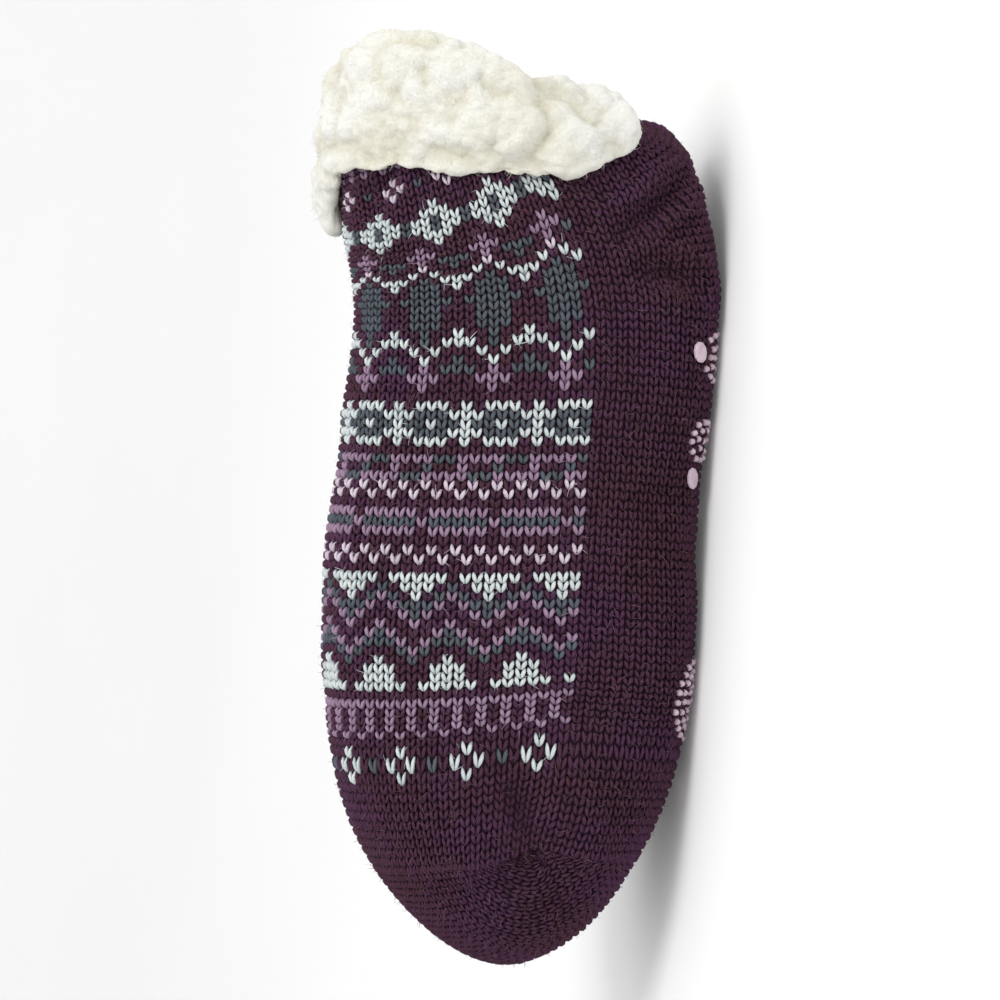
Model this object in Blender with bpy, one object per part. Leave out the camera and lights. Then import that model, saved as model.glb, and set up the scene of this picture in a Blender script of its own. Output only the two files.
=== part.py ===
# Slipper sock: a knitted foot in one piece, a turned-down fleece cuff and raised grip dots.
# Metres, +Z up, toe towards +X. The sock stands empty on its grip dots, its slack mouth facing back.

import math
import random
from collections import namedtuple

import bpy
import numpy as np
from mathutils import Matrix, Vector

# Driving sizes
foot_length = 0.2315      # knitted foot, from the back of the heel to the toe tip
ball_width = 0.078        # widest place, across the ball
instep_height = 0.097     # underside of the sole to the ridge of the instep
toe_tip_height = 0.0405   # the toe tip above the underside of the sole
heel_back_height = 0.042  # the knit's edge at the back of the heel, above the same
knit_wall = 0.003         # chunky knit with its floats
touch_gap = 0.0003        # pieces that touch keep this gap

# The mouth's edge, which leans back towards the crown and bows back at the sides
rim_lean = 0.001
rim_bow = 0.0075
rim_skew = 1.8            # above 1 the bow is fullest nearer the crown than the heel
rim_fade = 0.2            # share of the foot's length over which lean and bow die out

# Fleece cuff: turned over the rim and sewn down, with its inner leg inside the mouth
fleece_outside = 0.0072   # pile on the turned-down leg
fleece_inside = 0.0055    # pile inside the mouth
cuff_depth = 0.024        # inner leg, from the rim down into the mouth
lump_height = 0.0022      # curls of the pile stand this much proud
lump_spacing = 0.0105
roll_flatness = 0.8       # height of the roll over the rim, as a share of its radius
edge_thinning = 0.45      # share of the pile lost at the turned-down leg's free edge
edge_power = 6            # how late along the leg the pile thins
inner_curl_share = 0.5    # curls inside the mouth, as a share of those outside

# Grip dots: single large ovals of silicone printed on the sole
grip_length = 0.0058
grip_width = 0.0044
grip_height = 0.0009
grip_flat_share = 0.72    # flat top of a dot, as a share of its length and width
grip_shoulder = 0.55      # height where a dot's side starts to round over, as a share

stand_height = grip_height + touch_gap  # underside of the knit above the floor

# Sections across the foot. station: place of a section's crown, as a share of foot_length from
# the heel's back. sole, crown and belly (the widest line): heights as shares of instep_height.
# width: share of ball_width. flat: flat share of the underside's width.
Section = namedtuple("Section", "station sole crown width belly flat")
sections = (
    Section(0.000, 0.000, 1.032, 0.69, 0.660, 0.20),
    Section(0.030, 0.000, 1.046, 0.72, 0.610, 0.24),
    Section(0.090, 0.000, 1.057, 0.77, 0.520, 0.36),
    Section(0.150, 0.000, 1.046, 0.81, 0.430, 0.48),
    Section(0.207, 0.000, 1.028, 0.84, 0.370, 0.56),
    Section(0.250, 0.000, 1.018, 0.85, 0.345, 0.58),
    Section(0.330, 0.000, 1.010, 0.85, 0.330, 0.58),
    Section(0.420, 0.012, 1.003, 0.86, 0.330, 0.54),
    Section(0.500, 0.012, 1.000, 0.90, 0.330, 0.53),
    Section(0.570, 0.000, 0.997, 0.95, 0.330, 0.57),
    Section(0.660, 0.000, 0.983, 1.00, 0.330, 0.59),
    Section(0.710, 0.010, 0.963, 1.00, 0.335, 0.56),
)

# The heel, where the sections fan out round the back. reach: place of a section's underside, as a
# share of foot_length. rise: its height, as a share of heel_back_height.
Heel = namedtuple("Heel", "station reach rise")
heel = (
    Heel(0.000, 0.022, 1.00),
    Heel(0.045, 0.006, 0.62),
    Heel(0.080, 0.009, 0.40),
    Heel(0.115, 0.038, 0.23),
    Heel(0.150, 0.093, 0.12),
    Heel(0.190, 0.152, 0.04),
    Heel(0.235, 0.212, 0.00),
    Heel(0.290, 0.283, 0.00),
    Heel(0.330, 0.330, 0.00),
)
fan_end = 0.55             # share of the way to the crown where the fanning has died out

nose_roundness = 1.75      # exponent of the toe's rounding, seen from the side
nose_plan_roundness = 2.2  # the same, seen from above
nose_flat = 0.30           # flat share of the underside at the toe tip
ridge_roundness = 1.95     # 2 makes the instep's ridge a plain half ellipse

# Share of the way from the sole's middle to the crown, where flat, corner and side meet
flat_end, corner_end = 0.15, 0.40

# How far the cuff is turned down, in shares of cuff_turn, from the heel's middle (0) to the
# crown (1), on the near and on the far side of the foot. pile: share of the outer pile's thickness.
cuff_turn = 0.030
Turn = namedtuple("Turn", "way near far pile")
turns = (
    Turn(0.00, 0.16, 0.18, 0.60),
    Turn(0.12, 0.22, 0.26, 0.74),
    Turn(0.19, 0.42, 0.44, 1.00),
    Turn(0.25, 0.66, 0.62, 1.04),
    Turn(0.31, 0.80, 0.76, 0.88),
    Turn(0.36, 0.84, 0.86, 0.92),
    Turn(0.45, 0.88, 1.00, 1.02),
    Turn(0.62, 0.95, 1.15, 1.00),
    Turn(0.78, 0.93, 1.28, 1.00),
    Turn(0.90, 0.83, 1.36, 1.00),
    Turn(1.00, 0.92, 0.92, 1.00),
)

# Large grip dots. station as above; across: distance from the sole's middle along the knit, as
# a share of ball_width; turn: degrees between the dot's length and the foot's.
Grip = namedtuple("Grip", "station across turn")
side_grips = (
    Grip(0.235, 0.125, 12),
    Grip(0.280, 0.385, 20),
    Grip(0.345, 0.150, -15),
    Grip(0.420, 0.345, 12),
    Grip(0.455, 0.150, 10),
    Grip(0.590, 0.190, -12),
    Grip(0.775, 0.210, 25),
)
middle_grips = (
    Grip(0.650, 0.000, 90),
    Grip(0.740, 0.000, 0),
)

# Mesh steps
steps_around = 40
heel_steps = 24
body_steps = 10
nose_steps = 11
cuff_steps_around = 64
grip_steps = 10
search_steps = 240         # points along a line on which a distance is found
small_step = 1e-4          # in station or around, for directions along the knit
crease_angle = 50          # degrees, past which an edge of a solid stays sharp


def clear_scene():
    for item in list(bpy.data.objects):
        bpy.data.objects.remove(item)


def smooth_between(knots, values, at):
    """Cubic through the table's values, level where they turn, so that it never overshoots."""
    knots, values, at = (np.asarray(a, float) for a in (knots, values, at))
    slopes = np.diff(values) / np.diff(knots)
    turning = slopes[:-1] * slopes[1:] <= 0
    harmonic = 2 * slopes[:-1] * slopes[1:] / np.where(turning, 1, slopes[:-1] + slopes[1:])
    tangents = np.concatenate([slopes[:1], np.where(turning, 0, harmonic), slopes[-1:]])
    at = np.clip(at, knots[0], knots[-1])
    left = np.clip(np.searchsorted(knots, at, side="right") - 1, 0, len(knots) - 2)
    width = knots[left + 1] - knots[left]
    u = (at - knots[left]) / width
    return (
        values[left] * (2 * u**3 - 3 * u**2 + 1)
        + width * tangents[left] * (u**3 - 2 * u**2 + u)
        + values[left + 1] * (3 * u**2 - 2 * u**3)
        + width * tangents[left + 1] * (u**3 - u**2)
    )


def from_table(table, name, station):
    return smooth_between([row.station for row in table], [getattr(row, name) for row in table], station)


def section_sizes(station):
    """Sole, crown, belly height, half width and flat half width at each station, in metres."""
    body_end = sections[-1].station
    body = np.minimum(station, body_end)
    sole = from_table(sections, "sole", body) * instep_height
    sole = sole + from_table(heel, "rise", station) * heel_back_height
    crown = from_table(sections, "crown", body) * instep_height
    belly = from_table(sections, "belly", body) * instep_height
    half = from_table(sections, "width", body) * ball_width / 2
    flat = from_table(sections, "flat", body)
    # Past the last section the toe closes in a rounded nose about its tip
    nose = np.clip((station - body_end) / (1 - body_end), 0, 1)
    upright = (1 - nose**nose_roundness) ** (1 / nose_roundness)
    sole = toe_tip_height + (sole - toe_tip_height) * upright
    crown = toe_tip_height + (crown - toe_tip_height) * upright
    belly = belly + (toe_tip_height - belly) * nose**2
    flat = flat + (nose_flat - flat) * nose
    half = half * (1 - nose**nose_plan_roundness) ** (1 / nose_plan_roundness)
    return sole, crown, belly, half, half * flat


def knit_points(station, around):
    """Points on the knit's outside. around runs from 0, the sole's middle, through 0.5, the crown,
    and back along the far side to 1."""
    station, around = np.broadcast_arrays(np.asarray(station, float), np.asarray(around, float))
    sole, crown, belly, half, flat = section_sizes(station)
    way = 1 - np.abs(1 - 2 * (around % 1.0))
    side = np.where(around % 1.0 <= 0.5, 1.0, -1.0)
    on_flat = np.clip(way / flat_end, 0, 1)
    corner = np.clip((way - flat_end) / (corner_end - flat_end), 0, 1) * math.pi / 2
    rise = np.clip((way - corner_end) / (1 - corner_end), 0, 1) * math.pi / 2
    bend = 2 / ridge_roundness
    low_y = flat * on_flat + (half - flat) * np.sin(corner)
    low_z = belly - (belly - sole) * np.cos(corner)
    high_y = half * np.abs(np.cos(rise)) ** bend
    high_z = belly + (crown - belly) * np.abs(np.sin(rise)) ** bend
    upper = way > corner_end
    y = side * np.where(upper, high_y, low_y)
    z = np.where(upper, high_z, low_z)
    reach = np.where(station < heel[-1].station, from_table(heel, "reach", station), station)
    fan = 0.5 + 0.5 * np.cos(math.pi * np.clip(way / fan_end, 0, 1))
    x = (station + (reach - station) * fan) * foot_length
    fade = np.clip(1 - station / rim_fade, 0, 1) ** 2
    x = x - (rim_lean * way + rim_bow * np.sin(math.pi * way**rim_skew) ** 2) * fade
    return np.stack([x, y, z + stand_height], axis=-1)


def unit(vectors):
    return vectors / np.maximum(np.linalg.norm(vectors, axis=-1, keepdims=True), 1e-12)


def knit_normals(station, around):
    """Outward normals of the knit's outside, from two small steps along it."""
    low, high = np.clip(station - small_step, 0, 1), np.clip(station + small_step, 0, 1)
    along = knit_points(high, around) - knit_points(low, around)
    across = knit_points(station, around + small_step) - knit_points(station, around - small_step)
    return unit(np.cross(across, along))


def material(name, colour, roughness):
    made = bpy.data.materials.new(name)
    made.use_nodes = True
    shader = made.node_tree.nodes["Principled BSDF"]
    shader.inputs["Base Color"].default_value = (*colour, 1)
    shader.inputs["Roughness"].default_value = roughness
    shader.inputs["Metallic"].default_value = 0
    made.diffuse_color = (*colour, 1)
    return made


def mesh_object(name, points, faces, finish, parent):
    mesh = bpy.data.meshes.new(name)
    mesh.from_pydata([tuple(p) for p in points], [], [tuple(f) for f in faces])
    mesh.shade_smooth()
    mesh.set_sharp_from_angle(angle=math.radians(crease_angle))
    mesh.materials.append(finish)
    made = bpy.data.objects.new(name, mesh)
    made.parent = parent
    bpy.context.scene.collection.objects.link(made)
    return made


def ring_quads(first, second, count, flip=False):
    """Quads between two closed rings whose points start at these indices."""
    quads = []
    for k in range(count):
        after = (k + 1) % count
        quad = (first + k, first + after, second + after, second + k)
        quads.append(quad[::-1] if flip else quad)
    return quads


def knit_stations():
    """Close together round the heel and towards the toe tip, where the knit turns fastest."""
    heel_end, body_end = heel[-1].station, sections[-1].station
    round_heel = np.linspace(0, heel_end, heel_steps, endpoint=False)
    body = np.linspace(heel_end, body_end, body_steps)
    nose = body_end + (1 - body_end) * np.sin(np.linspace(0, math.pi / 2, nose_steps + 1)[1:-1])
    return np.concatenate([round_heel, body, nose])


def make_knit_sock(finish, parent):
    """The whole knitted foot, sole and instep in one, hollow and open at the mouth."""
    stations = knit_stations()
    around = np.arange(steps_around) / steps_around
    station_grid, around_grid = np.meshgrid(stations, around, indexing="ij")
    outside = knit_points(station_grid, around_grid)
    inside = outside - knit_wall * knit_normals(station_grid, around_grid)
    outer_tip = [foot_length, 0, toe_tip_height + stand_height]
    inner_tip = [foot_length - knit_wall, 0, toe_tip_height + stand_height]
    points = [*outside.reshape(-1, 3), *inside.reshape(-1, 3), outer_tip, inner_tip]
    rows, count = len(stations), steps_around
    inner = rows * count
    faces = ring_quads(0, inner, count, flip=True)
    for row in range(rows - 1):
        faces += ring_quads(row * count, (row + 1) * count, count)
        faces += ring_quads(inner + row * count, inner + (row + 1) * count, count, flip=True)
    last, tips = (rows - 1) * count, 2 * rows * count
    for k in range(count):
        after = (k + 1) % count
        faces.append((last + k, last + after, tips))
        faces.append((inner + last + after, inner + last + k, tips + 1))
    return mesh_object("knit_sock", points, faces, finish, parent)


def pile_lumps(points, reach):
    """Height of the fleece's curls at each point, from seeded centres on a loose grid."""
    seeded = random.Random(11)
    low, high = points.min(0) - reach, points.max(0) + reach
    centres = []
    for cell in np.ndindex(*np.ceil((high - low) / lump_spacing).astype(int)):
        centres.append([low[i] + (cell[i] + seeded.random()) * lump_spacing for i in range(3)])
    nearest = np.full(len(points), np.inf)
    for centre in np.array(centres):
        nearest = np.minimum(nearest, np.linalg.norm(points - centre, axis=1))
    return lump_height * np.clip(1 - (nearest / lump_spacing) ** 2, 0, 1)


def cuff_profile(turned, pile):
    """The cuff's section for one place round the mouth, once round. Each row is the distance from
    the middle of the knit's wall, the distance beyond the rim, and 1 where the pile is free."""
    inner_line = knit_wall / 2 + touch_gap
    outer_pile = inner_line + pile
    inner_pile = inner_line + fleece_inside
    rows = []
    for share in (1.0, 0.85, 0.64, 0.43, 0.21):    # turned-down leg, outside, up to the rim
        plump = 1 - edge_thinning * share**edge_power
        rows.append((inner_line + pile * plump, -turned * share, 1))
    for degrees in (0, 36, 72, 108, 144, 180):      # over the rim
        angle = math.radians(degrees)
        radius = outer_pile + (inner_pile - outer_pile) * degrees / 180
        rows.append((radius * math.cos(angle), radius * math.sin(angle) * roll_flatness, 1))
    for share in (0.33, 0.66, 1.0):                 # inner leg, down into the mouth
        rows.append((-inner_pile, -cuff_depth * share, inner_curl_share))
    for share in (1.0, 0.75, 0.5, 0.25):            # back up along the knit's inside
        rows.append((-inner_line, -cuff_depth * share, 0))
    for degrees in (180, 120, 60, 0):               # close round the rim
        angle = math.radians(degrees)
        rows.append((inner_line * math.cos(angle), inner_line * math.sin(angle), 0))
    for share in (0.2, 0.4, 0.6, 0.8, 1.0):         # down along the knit's outside
        rows.append((inner_line, -turned * share, 0))
    return np.array(rows)


def turn_share(name, around):
    way = 1 - np.abs(1 - 2 * around)
    return float(smooth_between([t.way for t in turns], [getattr(t, name) for t in turns], way))


def cuff_ring(around):
    """Base points of the cuff's section at one place round the mouth, with the way out of the
    pile at each."""
    turned = turn_share("near" if around <= 0.5 else "far", around) * cuff_turn
    profile = cuff_profile(turned, turn_share("pile", around) * fleece_outside)
    stations = np.linspace(0, heel[-1].station, search_steps + 1)
    line = knit_points(stations, around)
    lengths = np.concatenate([[0], np.cumsum(np.linalg.norm(np.diff(line, axis=0), axis=1))])
    station = np.interp(np.maximum(-profile[:, 1], 0), lengths, stations)
    normals = knit_normals(station, around)
    middle = knit_points(station, around) - normals * knit_wall / 2
    rim_way = knit_points(0, around + small_step) - knit_points(0, around - small_step)
    beyond = unit(np.cross(rim_way, knit_normals(0, around)))
    away, past = profile[:, :1], np.maximum(profile[:, 1:2], 0)
    points = middle + normals * away + beyond * past
    outward = unit(normals * away + beyond * past)
    return points, outward, profile[:, 2]


def make_cuff(finish, parent):
    """Fleece turned over the mouth's edge: one closed ring with the curls of its pile fused on."""
    rings = [cuff_ring(k / cuff_steps_around) for k in range(cuff_steps_around)]
    base = np.concatenate([ring[0] for ring in rings])
    outward = np.concatenate([ring[1] for ring in rings])
    free = np.concatenate([ring[2] for ring in rings])[:, None]
    points = base + outward * free * pile_lumps(base, lump_spacing)[:, None]
    count = len(rings[0][0])
    faces = []
    for k in range(cuff_steps_around):
        after = (k + 1) % cuff_steps_around
        faces += ring_quads(k * count, after * count, count)
    return mesh_object("sherpa_cuff", points, faces, finish, parent)


def grip_mesh(finish):
    """One dot: an oval with a flat top and rounded shoulders, standing up along +Z."""
    rings = ((1.0, 0.0), (1.0, grip_shoulder), (grip_flat_share, 1.0))
    points, faces = [], []
    for share, height in rings:
        for k in range(grip_steps):
            angle = 2 * math.pi * k / grip_steps
            x = math.cos(angle) * grip_length / 2 * share
            y = math.sin(angle) * grip_width / 2 * share
            points.append((x, y, height * grip_height))
    for row in range(len(rings) - 1):
        faces += ring_quads(row * grip_steps, (row + 1) * grip_steps, grip_steps)
    faces.append(tuple(reversed(range(grip_steps))))
    faces.append(tuple(range((len(rings) - 1) * grip_steps, len(rings) * grip_steps)))
    mesh = bpy.data.meshes.new("grip_dot")
    mesh.from_pydata(points, [], faces)
    mesh.shade_smooth()
    mesh.set_sharp_from_angle(angle=math.radians(crease_angle))
    mesh.materials.append(finish)
    return mesh


def sole_place(station, across):
    """Where a dot sits: the point on the knit this far from the sole's middle, and its normal."""
    arounds = np.linspace(0, 0.5, search_steps + 1)
    line = knit_points(station, arounds)
    lengths = np.concatenate([[0], np.cumsum(np.linalg.norm(np.diff(line, axis=0), axis=1))])
    around = np.interp(abs(across), lengths, arounds)
    point, normal = knit_points(station, around), knit_normals(station, around)
    if across < 0:
        point[1], normal[1] = -point[1], -normal[1]
    return Vector(point), Vector(normal)


def make_grips(finish, parent):
    mesh = grip_mesh(finish)
    places = [(g, 1) for g in middle_grips] + [(g, side) for g in side_grips for side in (1, -1)]
    for number, (grip, side) in enumerate(places, start=1):
        point, normal = sole_place(grip.station, side * grip.across * ball_width)
        forward = Vector((1, 0, 0))
        forward = (forward - normal * forward.dot(normal)).normalized()
        sideways = normal.cross(forward)
        frame = Matrix((forward, sideways, normal)).transposed().to_4x4()
        made = bpy.data.objects.new(f"grip_dot_{number:02d}", mesh)
        turn = Matrix.Rotation(math.radians(side * grip.turn), 4, "Z")
        made.parent = parent
        made.matrix_local = Matrix.Translation(point + normal * touch_gap) @ frame @ turn
        bpy.context.scene.collection.objects.link(made)


def centre_on_origin(parent):
    """Moves the sock so that the middle of its length and width stands over the origin."""
    bpy.context.view_layer.update()
    corners = [
        item.matrix_world @ Vector(corner)
        for item in parent.children
        for corner in item.bound_box
    ]
    middle_x = (min(c.x for c in corners) + max(c.x for c in corners)) / 2
    middle_y = (min(c.y for c in corners) + max(c.y for c in corners)) / 2
    parent.location = (-middle_x, -middle_y, 0)


def main():
    clear_scene()
    sock = bpy.data.objects.new("slipper_sock", None)
    bpy.context.scene.collection.objects.link(sock)
    make_knit_sock(material("plum_knit", (0.075, 0.026, 0.055), 0.95), sock)
    make_cuff(material("cream_fleece", (0.80, 0.77, 0.69), 0.95), sock)
    make_grips(material("pink_silicone", (0.62, 0.47, 0.53), 0.5), sock)
    centre_on_origin(sock)


main()
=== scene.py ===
import math
import random

import bpy
import numpy as np
from mathutils import Matrix, Vector, noise
from mathutils.bvhtree import BVHTree


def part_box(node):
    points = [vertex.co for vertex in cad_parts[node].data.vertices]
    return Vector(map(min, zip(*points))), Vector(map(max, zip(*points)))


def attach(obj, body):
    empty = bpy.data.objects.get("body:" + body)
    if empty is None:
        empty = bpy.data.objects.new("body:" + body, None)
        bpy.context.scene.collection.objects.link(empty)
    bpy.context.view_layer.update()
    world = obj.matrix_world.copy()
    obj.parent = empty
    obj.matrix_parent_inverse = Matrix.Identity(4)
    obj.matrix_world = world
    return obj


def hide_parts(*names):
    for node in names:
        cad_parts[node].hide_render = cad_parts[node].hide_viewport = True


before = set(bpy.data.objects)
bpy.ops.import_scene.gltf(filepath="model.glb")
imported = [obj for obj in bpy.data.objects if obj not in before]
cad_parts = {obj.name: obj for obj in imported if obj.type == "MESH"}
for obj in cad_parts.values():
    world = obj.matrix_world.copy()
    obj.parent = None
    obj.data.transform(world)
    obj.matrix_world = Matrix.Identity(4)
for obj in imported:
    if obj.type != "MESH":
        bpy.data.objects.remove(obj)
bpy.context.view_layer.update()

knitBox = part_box("knit_sock")
noise.seed_set(5)  # the same lumps in every run


# Node trees from Python: one method makes any node, and a wire can stand in a formula
class Wire:
    def __init__(self, graph, socket):
        self.graph = graph
        self.socket = socket

    def maths(self, operation, first, second):
        return self.graph.node("ShaderNodeMath", {"operation": operation}, {0: first, 1: second})

    def __add__(self, other):
        return self.maths("ADD", self, other)

    def __radd__(self, other):
        return self.maths("ADD", other, self)

    def __sub__(self, other):
        return self.maths("SUBTRACT", self, other)

    def __rsub__(self, other):
        return self.maths("SUBTRACT", other, self)

    def __mul__(self, other):
        return self.maths("MULTIPLY", self, other)

    def __rmul__(self, other):
        return self.maths("MULTIPLY", other, self)


class Graph:
    def __init__(self, tree):
        self.tree = tree
        tree.nodes.clear()

    def node(self, kind, settings=None, sockets=None, out=0):
        made = self.tree.nodes.new(kind)
        for name, value in (settings or {}).items():
            setattr(made, name, value)
        for name, value in (sockets or {}).items():
            for one in value if isinstance(value, list) else [value]:
                if isinstance(one, Wire):
                    self.tree.links.new(one.socket, made.inputs[name])
                else:
                    made.inputs[name].default_value = one
        return Wire(self, made.outputs[out]) if made.outputs else made

    def mixColour(self, amount, low, high):
        return self.node("ShaderNodeMix", {"data_type": "RGBA"}, {0: amount, 6: low, 7: high}, out=2)

    def spread(self, wire, low, high, toLow=0.0, toHigh=1.0):  # soft step from low to high
        return self.node("ShaderNodeMapRange", {"interpolation_type": "SMOOTHSTEP"},
                         {0: wire, 1: low, 2: high, 3: toLow, 4: toHigh})


def colour(red, green, blue):  # a colour as a picture program gives it, 0 to 255
    return tuple((part / 255 / 12.92) if part < 11 else ((part / 255 + 0.055) / 1.055) ** 2.4
                 for part in (red, green, blue)) + (1.0,)


# The sock's own sizes, as the solids have them
sock = dict(footLength=0.2315, ballWidth=0.078, instepHeight=0.097, toeTipHeight=0.0405,
            heelBackHeight=0.042, wall=0.003, touchGap=0.0003, standHeight=0.0012,
            rimLean=0.001, rimBow=0.0075, rimSkew=1.8, rimFade=0.2, fanEnd=0.55,
            noseRound=1.75, nosePlanRound=2.2, noseFlat=0.30, ridgeRound=1.95,
            flatEnd=0.15, cornerEnd=0.40)
sock["shift"] = knitBox[1][0] - sock["footLength"]
sectionTable = [  # station, sole, crown, width, belly, flat
    (0.000, 0.000, 1.032, 0.69, 0.660, 0.20), (0.030, 0.000, 1.046, 0.72, 0.610, 0.24),
    (0.090, 0.000, 1.057, 0.77, 0.520, 0.36), (0.150, 0.000, 1.046, 0.81, 0.430, 0.48),
    (0.207, 0.000, 1.028, 0.84, 0.370, 0.56), (0.250, 0.000, 1.018, 0.85, 0.345, 0.58),
    (0.330, 0.000, 1.010, 0.85, 0.330, 0.58), (0.420, 0.012, 1.003, 0.86, 0.330, 0.54),
    (0.500, 0.012, 1.000, 0.90, 0.330, 0.53), (0.570, 0.000, 0.997, 0.95, 0.330, 0.57),
    (0.660, 0.000, 0.983, 1.00, 0.330, 0.59), (0.710, 0.010, 0.963, 1.00, 0.335, 0.56)]
heelTable = [  # station, reach, rise
    (0.000, 0.022, 1.00), (0.045, 0.006, 0.62), (0.080, 0.009, 0.40), (0.115, 0.038, 0.23),
    (0.150, 0.093, 0.12), (0.190, 0.152, 0.04), (0.235, 0.212, 0.00), (0.290, 0.283, 0.00),
    (0.330, 0.330, 0.00)]
bodyEnd = sectionTable[-1][0]
heelEnd = heelTable[-1][0]


def smoothBetween(knots, values, at):
    knots, values, at = (np.asarray(one, float) for one in (knots, values, at))
    slopes = np.diff(values) / np.diff(knots)
    turning = slopes[:-1] * slopes[1:] <= 0
    harmonic = 2 * slopes[:-1] * slopes[1:] / np.where(turning, 1, slopes[:-1] + slopes[1:])
    tangents = np.concatenate([slopes[:1], np.where(turning, 0, harmonic), slopes[-1:]])
    at = np.clip(at, knots[0], knots[-1])
    left = np.clip(np.searchsorted(knots, at, side="right") - 1, 0, len(knots) - 2)
    width = knots[left + 1] - knots[left]
    u = (at - knots[left]) / width
    return (values[left] * (2 * u**3 - 3 * u**2 + 1) + width * tangents[left] * (u**3 - 2 * u**2 + u)
            + values[left + 1] * (3 * u**2 - 2 * u**3) + width * tangents[left + 1] * (u**3 - u**2))


def fromTable(table, column, at):
    return smoothBetween([row[0] for row in table], [row[column] for row in table], at)


def unit(vectors):
    return vectors / np.maximum(np.linalg.norm(vectors, axis=-1, keepdims=True), 1e-12)


def runAlong(line):  # the length so far, along a line of points or down each column of a grid
    steps = np.linalg.norm(np.diff(line, axis=0), axis=-1)
    return np.concatenate([np.zeros((1,) + steps.shape[1:]), np.cumsum(steps, axis=0)])


def pointAt(at, run, line):
    return np.stack([np.interp(at, run, line[:, axis]) for axis in range(3)], axis=-1)


def sectionSizes(station):
    body = np.minimum(station, bodyEnd)
    rise = sock["instepHeight"]
    tip = sock["toeTipHeight"]
    lift = fromTable(heelTable, 2, station) * sock["heelBackHeight"]
    sole = fromTable(sectionTable, 1, body) * rise + lift
    crown = fromTable(sectionTable, 2, body) * rise
    half = fromTable(sectionTable, 3, body) * sock["ballWidth"] / 2
    belly = fromTable(sectionTable, 4, body) * rise
    flat = fromTable(sectionTable, 5, body)
    nose = np.clip((station - bodyEnd) / (1 - bodyEnd), 0, 1)
    upright = (1 - nose ** sock["noseRound"]) ** (1 / sock["noseRound"])
    sole = tip + (sole - tip) * upright
    crown = tip + (crown - tip) * upright
    belly = belly + (tip - belly) * nose**2
    flat = flat + (sock["noseFlat"] - flat) * nose
    half = half * (1 - nose ** sock["nosePlanRound"]) ** (1 / sock["nosePlanRound"])
    return sole, crown, belly, half, half * flat


def wallPoints(station, around):  # around goes from the sole's middle up the near side and over
    station, around = np.broadcast_arrays(np.asarray(station, float), np.asarray(around, float))
    sole, crown, belly, half, flat = sectionSizes(station)
    way = 1 - np.abs(1 - 2 * (around % 1.0))
    side = np.where(around % 1.0 <= 0.5, 1.0, -1.0)
    onFlat = np.clip(way / sock["flatEnd"], 0, 1)
    corner = np.clip((way - sock["flatEnd"]) / (sock["cornerEnd"] - sock["flatEnd"]), 0, 1) * math.pi / 2
    rise = np.clip((way - sock["cornerEnd"]) / (1 - sock["cornerEnd"]), 0, 1) * math.pi / 2
    bend = 2 / sock["ridgeRound"]
    lowY = flat * onFlat + (half - flat) * np.sin(corner)
    lowZ = belly - (belly - sole) * np.cos(corner)
    highY = half * np.abs(np.cos(rise)) ** bend
    highZ = belly + (crown - belly) * np.abs(np.sin(rise)) ** bend
    upper = way > sock["cornerEnd"]
    y = side * np.where(upper, highY, lowY)
    z = np.where(upper, highZ, lowZ)
    reach = np.where(station < heelEnd, fromTable(heelTable, 1, station), station)
    fan = 0.5 + 0.5 * np.cos(math.pi * np.clip(way / sock["fanEnd"], 0, 1))
    x = (station + (reach - station) * fan) * sock["footLength"]
    fade = np.clip(1 - station / sock["rimFade"], 0, 1) ** 2
    x = x - (sock["rimLean"] * way + sock["rimBow"] * np.sin(math.pi * way ** sock["rimSkew"]) ** 2) * fade
    return np.stack([x + sock["shift"], y, z + sock["standHeight"]], axis=-1)


def wallNormals(station, around, step=1e-4):
    low = np.clip(np.asarray(station, float) - step, 0, 1)
    high = np.clip(np.asarray(station, float) + step, 0, 1)
    along = wallPoints(high, around) - wallPoints(low, around)
    across = wallPoints(station, around + step) - wallPoints(station, around - step)
    return unit(np.cross(across, along))


# Folds in the knit: soft troughs with a low ridge on both sides, in metres along and up the sock
creases = [
    dict(path=[(0.180, 0.051), (0.188, 0.046), (0.198, 0.041), (0.209, 0.036)], side=1, wide=0.0080,
         deep=0.0050),
    dict(path=[(0.181, 0.052), (0.190, 0.046), (0.200, 0.041)], side=1, wide=0.0036, deep=0.0026),
    dict(path=[(0.040, 0.103), (0.062, 0.101), (0.088, 0.099)], side=0, wide=0.0200, deep=0.0040),
    dict(path=[(0.178, 0.043), (0.190, 0.040), (0.203, 0.040)], side=-1, wide=0.0055, deep=0.0045),
    dict(path=[(0.203, 0.043), (0.209, 0.050), (0.212, 0.058)], side=1, wide=0.0042, deep=0.0012),
    dict(path=[(0.034, 0.031), (0.026, 0.022), (0.0165, 0.0115)], side=1, wide=0.0032, deep=0.0038),
    dict(path=[(0.044, 0.024), (0.043, 0.016), (0.046, 0.009)], side=1, wide=0.0032, deep=0.0034),
    dict(path=[(0.036, 0.034), (0.029, 0.022), (0.021, 0.013)], side=-1, wide=0.0034, deep=0.0016),
    dict(path=[(0.020, 0.055), (0.012, 0.047), (0.006, 0.040)], side=1, wide=0.0034, deep=0.0011),
    dict(path=[(0.030, 0.060), (0.040, 0.050), (0.048, 0.036)], side=-1, wide=0.0050, deep=0.0012),
    dict(path=[(0.014, 0.094), (0.026, 0.093), (0.040, 0.0965)], side=1, wide=0.0028, deep=0.0018),
    dict(path=[(0.098, 0.006), (0.104, 0.014), (0.108, 0.026)], side=1, wide=0.0050, deep=0.0008)]

foldShape = dict(ridge=0.35, ridgeAt=1.9, ridgeWide=0.75, ends=0.12, sideFade=0.008,
                 soleFlat=0.010, soleFade=0.012)


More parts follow.
